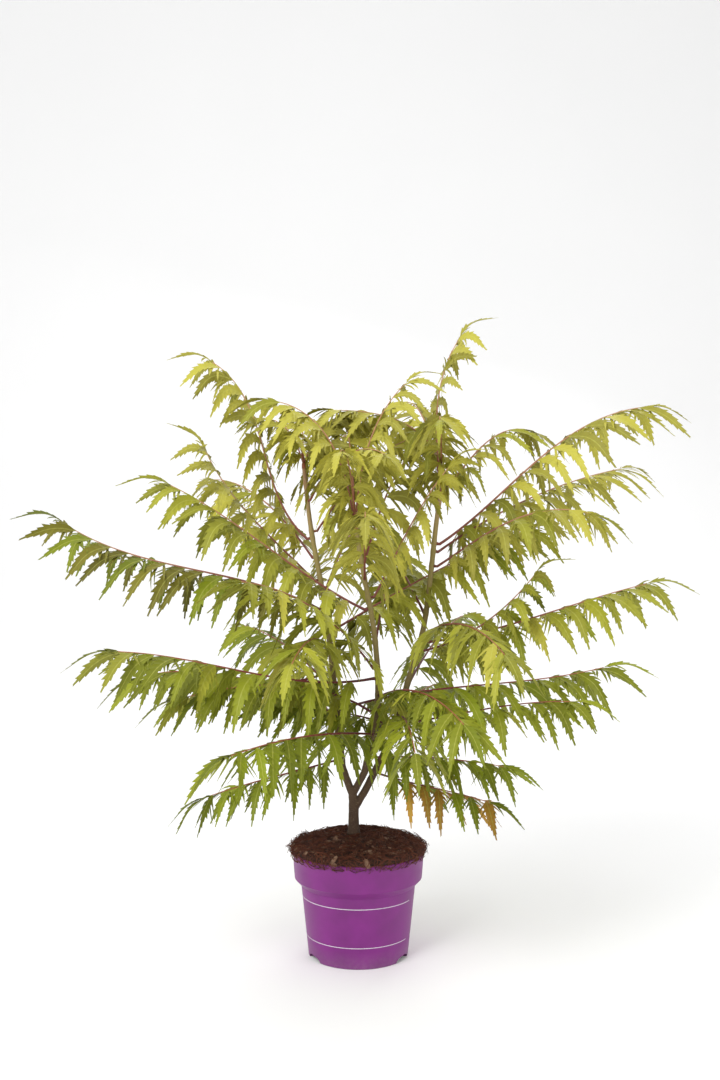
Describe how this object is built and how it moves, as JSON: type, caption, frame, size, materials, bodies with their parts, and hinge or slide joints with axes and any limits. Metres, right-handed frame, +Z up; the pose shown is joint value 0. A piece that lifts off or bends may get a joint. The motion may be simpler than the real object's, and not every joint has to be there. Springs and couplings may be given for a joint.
{
  "type": "potted shrub",
  "caption": "Young cut-leaf sumac shrub on a short forked trunk, with long drooping feathered leaves, standing in a round tapered nursery pot.",
  "frame": {"origin": "centre of the flat underside of the pot", "axes": "+Z up, -Y towards the viewer of the picture, +X to the viewer's right"},
  "size_m": [1.2311, 0.8822, 1.1319],
  "materials": {
    "pot": "satin",
    "mulch": "rough",
    "bark": "rough",
    "foliage": "matte"
  },
  "bodies": {
    "root": {"pot": "pot", "mulch": "mulch", "trunk": "bark", "stem_left": "bark", "stem_middle": "bark", "stem_right": "bark", "leaf_left_01": "foliage", "leaf_left_02": "foliage", "leaf_left_03": "foliage", "leaf_left_04": "foliage", "leaf_left_05": "foliage", "leaf_left_06": "foliage", "leaf_left_07": "foliage", "leaf_left_08": "foliage", "leaf_left_09": "foliage", "leaf_left_10": "foliage", "leaf_left_11": "foliage", "leaf_left_12": "foliage", "leaf_left_13": "foliage", "leaf_left_14": "foliage", "leaf_left_15": "foliage", "leaf_middle_01": "foliage", "leaf_middle_02": "foliage", "leaf_middle_03": "foliage", "leaf_middle_04": "foliage", "leaf_middle_05": "foliage", "leaf_middle_06": "foliage", "leaf_middle_07": "foliage", "leaf_middle_08": "foliage", "leaf_middle_09": "foliage", "leaf_middle_10": "foliage", "leaf_middle_11": "foliage", "leaf_right_01": "foliage", "leaf_right_02": "foliage", "leaf_right_03": "foliage", "leaf_right_04": "foliage", "leaf_right_05": "foliage", "leaf_right_06": "foliage", "leaf_right_07": "foliage", "leaf_right_08": "foliage", "leaf_right_09": "foliage", "leaf_right_10": "foliage", "leaf_right_11": "foliage", "leaf_right_12": "foliage", "leaf_right_13": "foliage", "tuft_left": "foliage", "tuft_middle": "foliage", "tuft_right": "foliage"}
  },
  "joints": []
}
